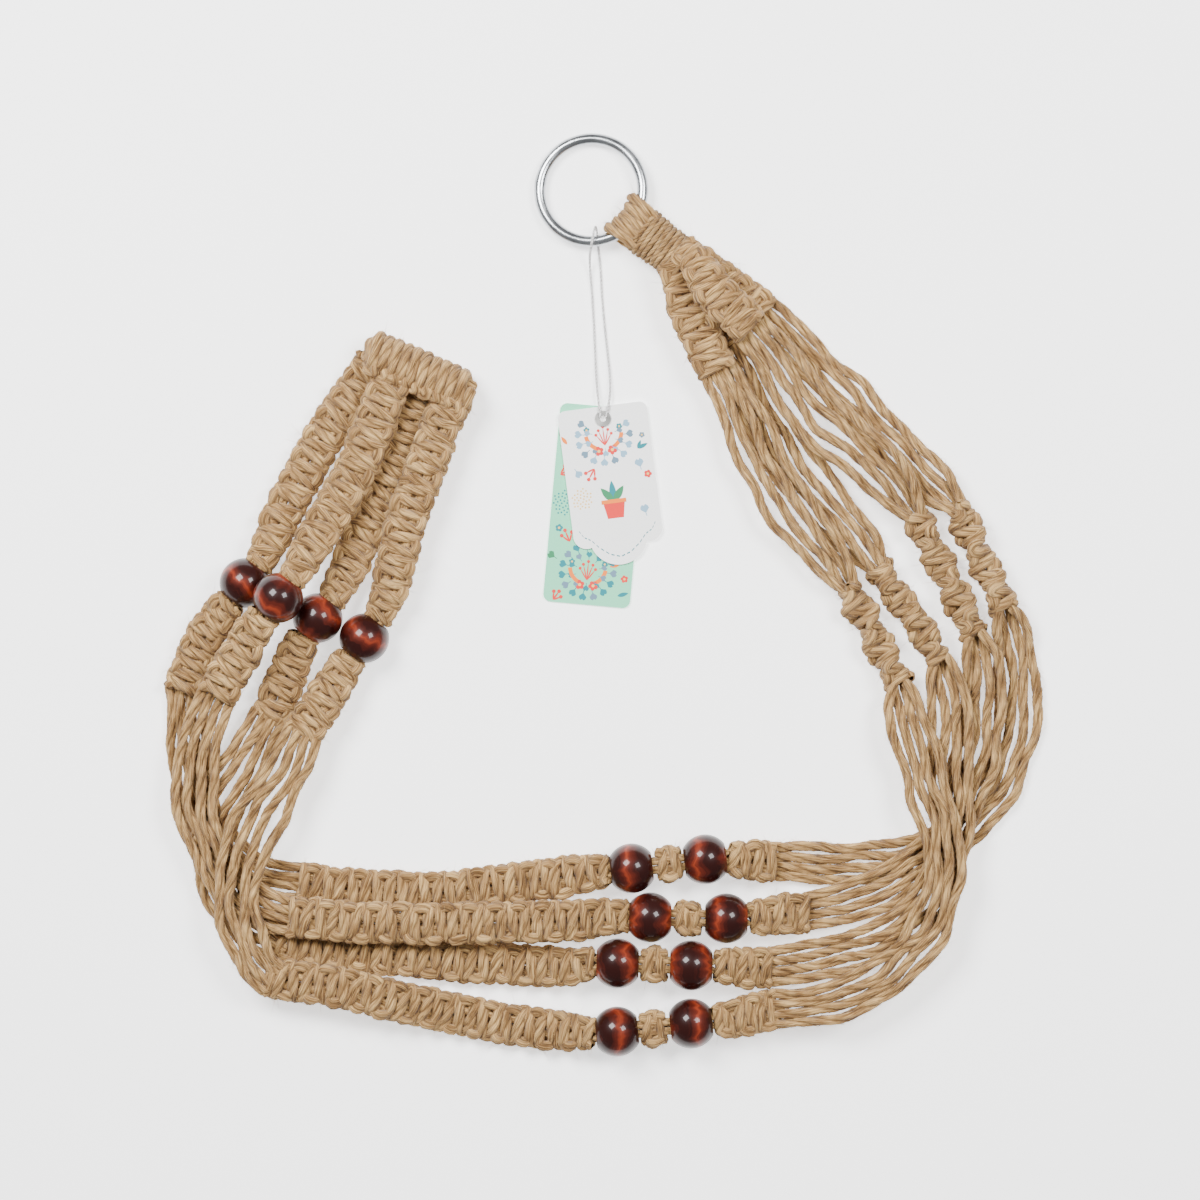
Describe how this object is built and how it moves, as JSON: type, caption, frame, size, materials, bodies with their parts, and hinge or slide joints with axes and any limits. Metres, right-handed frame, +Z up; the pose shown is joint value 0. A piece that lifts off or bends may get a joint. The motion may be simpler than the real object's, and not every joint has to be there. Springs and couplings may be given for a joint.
{
  "type": "hanging macrame planter",
  "caption": "Macrame plant hanger of knotted jute cords with wooden beads, a metal hanging ring and a paper hang tag, gathered and laid flat.",
  "frame": {"origin": "centre of the outline of the laid-out planter, on the surface it lies on", "axes": "+Z up from the surface; +Y from the bead band towards the ring; +X to the right as seen from above"},
  "size_m": [0.3524, 0.3697, 0.033],
  "materials": {
    "jute": "twisted natural jute cord, hairy",
    "bead": "dark red-brown stained wood, glossy varnish",
    "ring_metal": "zinc-plated steel wire",
    "string": "white two-ply cotton string",
    "eyelet": "pressed eyelet",
    "card_back": "printed mint-green card",
    "card_front": "printed white card"
  },
  "bodies": {
    "macrame": {"base_knot": "jute", "basket_cords_1": "jute", "basket_cords_2": "jute", "basket_cords_3": "jute", "basket_cords_4": "jute", "basket_sinnet_1": "jute", "basket_sinnet_2": "jute", "basket_sinnet_3": "jute", "basket_sinnet_4": "jute", "lead_sinnet_1": "jute", "lead_sinnet_2": "jute", "lead_sinnet_3": "jute", "lead_sinnet_4": "jute", "long_sinnet_1": "jute", "long_sinnet_2": "jute", "long_sinnet_3": "jute", "long_sinnet_4": "jute", "mid_knot_1": "jute", "mid_knot_2": "jute", "mid_knot_3": "jute", "mid_knot_4": "jute", "neck_cords_1": "jute", "neck_cords_2": "jute", "neck_cords_3": "jute", "neck_cords_4": "jute", "neck_sinnet_1": "jute", "neck_sinnet_2": "jute", "neck_sinnet_3": "jute", "neck_sinnet_4": "jute", "neck_wrap": "jute", "short_sinnet_1": "jute", "short_sinnet_2": "jute", "short_sinnet_3": "jute", "short_sinnet_4": "jute", "spiral_1": "jute", "spiral_2": "jute", "spiral_3": "jute", "spiral_4": "jute", "waist_cords_1": "jute", "waist_cords_2": "jute", "waist_cords_3": "jute", "waist_cords_4": "jute"},
    "basket_bead_1": {"basket_bead_1": "bead"},
    "basket_bead_2": {"basket_bead_2": "bead"},
    "basket_bead_3": {"basket_bead_3": "bead"},
    "basket_bead_4": {"basket_bead_4": "bead"},
    "left_bead_1": {"left_bead_1": "bead"},
    "left_bead_2": {"left_bead_2": "bead"},
    "left_bead_3": {"left_bead_3": "bead"},
    "left_bead_4": {"left_bead_4": "bead"},
    "right_bead_1": {"right_bead_1": "bead"},
    "right_bead_2": {"right_bead_2": "bead"},
    "right_bead_3": {"right_bead_3": "bead"},
    "right_bead_4": {"right_bead_4": "bead"},
    "ring_loops": {"ring_loops": "jute"},
    "ring": {"ring": "ring_metal"},
    "tag_string": {"tag_string": "string", "tag_eyelet": "eyelet"},
    "tag_card_back": {"tag_card_back": "card_back"},
    "tag_card_front": {"tag_card_front": "card_front"}
  },
  "joints": [
    {"name": "left_bead_1_spin", "type": "hinge", "parent": "macrame", "child": "left_bead_1", "pos_m": [0.0126, -0.1092, 0.01], "axis": [0.9926, 0.1215, 0], "continuous": true},
    {"name": "right_bead_1_spin", "type": "hinge", "parent": "macrame", "child": "right_bead_1", "pos_m": [0.042, -0.1056, 0.01], "axis": [0.9926, 0.1215, 0], "continuous": true},
    {"name": "basket_bead_1_spin", "type": "hinge", "parent": "macrame", "child": "basket_bead_1", "pos_m": [-0.142, 0.0048, 0.01], "axis": [0.6, 0.8, 0], "continuous": true},
    {"name": "left_bead_2_spin", "type": "hinge", "parent": "macrame", "child": "left_bead_2", "pos_m": [0.02, -0.1288, 0.01], "axis": [0.9999, -0.0132, 0], "continuous": true},
    {"name": "right_bead_2_spin", "type": "hinge", "parent": "macrame", "child": "right_bead_2", "pos_m": [0.0504, -0.1292, 0.01], "axis": [0.9999, -0.0132, 0], "continuous": true},
    {"name": "basket_bead_2_spin", "type": "hinge", "parent": "macrame", "child": "basket_bead_2", "pos_m": [-0.1276, -0.0012, 0.02299], "axis": [0.6, 0.8, 0], "continuous": true},
    {"name": "left_bead_3_spin", "type": "hinge", "parent": "macrame", "child": "left_bead_3", "pos_m": [0.007, -0.1472, 0.01], "axis": [0.9996, -0.0272, 0], "continuous": true},
    {"name": "right_bead_3_spin", "type": "hinge", "parent": "macrame", "child": "right_bead_3", "pos_m": [0.0364, -0.148, 0.01], "axis": [0.9996, -0.0272, 0], "continuous": true},
    {"name": "basket_bead_3_spin", "type": "hinge", "parent": "macrame", "child": "basket_bead_3", "pos_m": [-0.1128, -0.0092, 0.01], "axis": [0.6, 0.8, 0], "continuous": true},
    {"name": "left_bead_4_spin", "type": "hinge", "parent": "macrame", "child": "left_bead_4", "pos_m": [0.0068, -0.1744, 0.01], "axis": [0.9942, 0.1075, 0], "continuous": true},
    {"name": "right_bead_4_spin", "type": "hinge", "parent": "macrame", "child": "right_bead_4", "pos_m": [0.0364, -0.1712, 0.01], "axis": [0.9942, 0.1075, 0], "continuous": true},
    {"name": "basket_bead_4_spin", "type": "hinge", "parent": "macrame", "child": "basket_bead_4", "pos_m": [-0.09417, -0.01726, 0.01], "axis": [0.6, 0.8, 0], "continuous": true},
    {"name": "ring_swing", "type": "hinge", "parent": "macrame", "child": "ring_loops", "pos_m": [0.0126, 0.14951, 0.0066], "axis": [0.6225, 0.7826, 0], "range_deg": [0, 40]},
    {"name": "ring_turn", "type": "hinge", "parent": "ring_loops", "child": "ring", "pos_m": [-0.00351, 0.16233, 0.00445], "axis": [-0.0813, 0.0647, 0.9946], "continuous": true},
    {"name": "tag_swing", "type": "hinge", "parent": "ring_loops", "child": "tag_string", "pos_m": [-0.0026, 0.1417, 0.00587], "axis": [0.6225, 0.7826, 0], "range_deg": [-40, 0]},
    {"name": "card_back_turn", "type": "hinge", "parent": "tag_string", "child": "tag_card_back", "pos_m": [0.0012, 0.0708, 0.00045], "axis": [0, 0, 1], "range_deg": [-20, 20]},
    {"name": "card_front_turn", "type": "hinge", "parent": "tag_string", "child": "tag_card_front", "pos_m": [0.0012, 0.0708, 0.00125], "axis": [0, 0, 1], "range_deg": [-20, 20]}
  ],
  "couplings": [
    {"joint": "tag_swing", "follows": "ring_swing", "ratio": -1}
  ]
}
